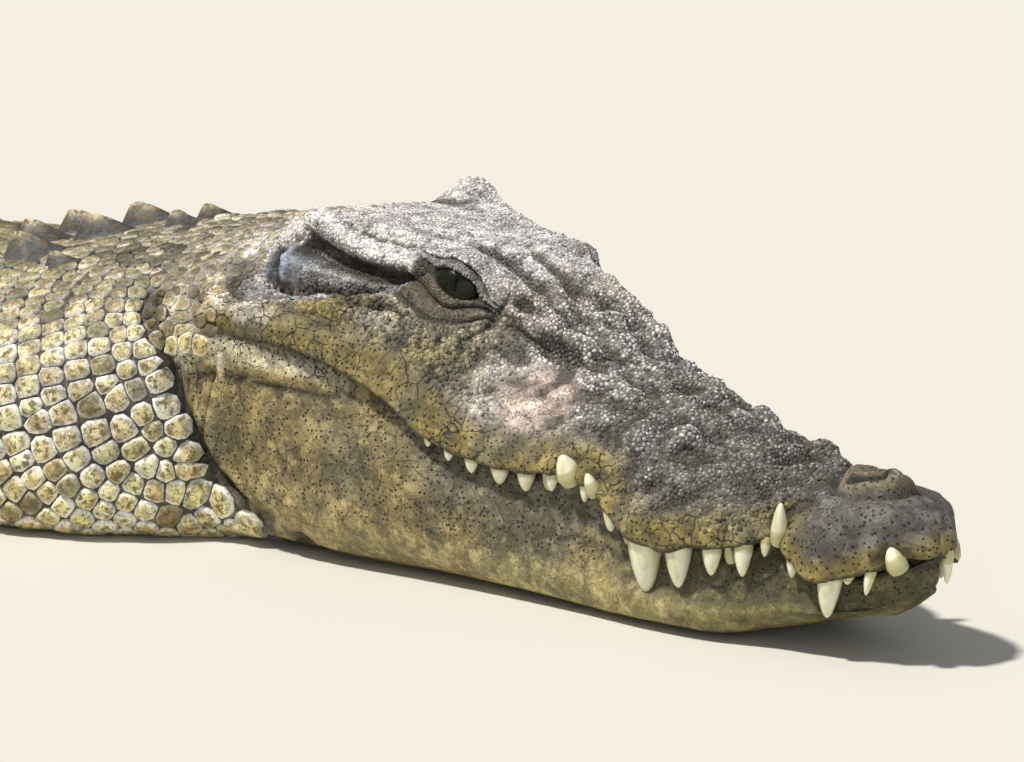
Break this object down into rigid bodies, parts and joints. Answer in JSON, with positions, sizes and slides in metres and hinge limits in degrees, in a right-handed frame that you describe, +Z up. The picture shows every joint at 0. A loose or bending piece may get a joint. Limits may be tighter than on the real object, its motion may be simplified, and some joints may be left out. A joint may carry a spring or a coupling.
{
  "type": "crocodile",
  "caption": "Life-size adult saltwater crocodile lying on its belly with shut jaws, interlocking teeth outside the lips, head turned to its right and tail swung to one side.",
  "frame": {"origin": "on the floor under the middle of the belly, on the flat that the belly rests on", "axes": "+X along the trunk towards the head, +Y to the animal's left, +Z up"},
  "size_m": [3.8531, 1.3531, 0.2993],
  "materials": {
    "head_hide": "matte, fine grained, dark grey-olive with yellow-olive cheeks",
    "jaw_hide": "matte, mottled yellow-olive and grey",
    "neck_hide": "matte, rows of rounded scales",
    "back_hide": "matte, dark olive plates on the back",
    "tail_hide": "matte, dark olive with upright scutes",
    "leg_hide": "matte, small scales",
    "ear_hide": "smooth, blue-grey",
    "eye_wet": "wet gloss, dark green"
  },
  "bodies": {
    "root": {"head": "head_hide", "lower_jaw": "jaw_hide", "neck": "neck_hide", "trunk": "back_hide", "tail_1": "tail_hide", "tail_2": "tail_hide", "tail_3": "tail_hide", "tail_4": "tail_hide", "right_eye": "eye_wet", "right_ear_flap": "ear_hide", "right_upper_arm": "leg_hide", "right_forearm": "leg_hide", "right_hand": "leg_hide", "right_thigh": "leg_hide", "right_shank": "leg_hide", "right_foot": "leg_hide", "left_eye": "eye_wet", "left_ear_flap": "ear_hide", "left_upper_arm": "leg_hide", "left_forearm": "leg_hide", "left_hand": "leg_hide", "left_thigh": "leg_hide", "left_shank": "leg_hide", "left_foot": "leg_hide"}
  },
  "joints": []
}
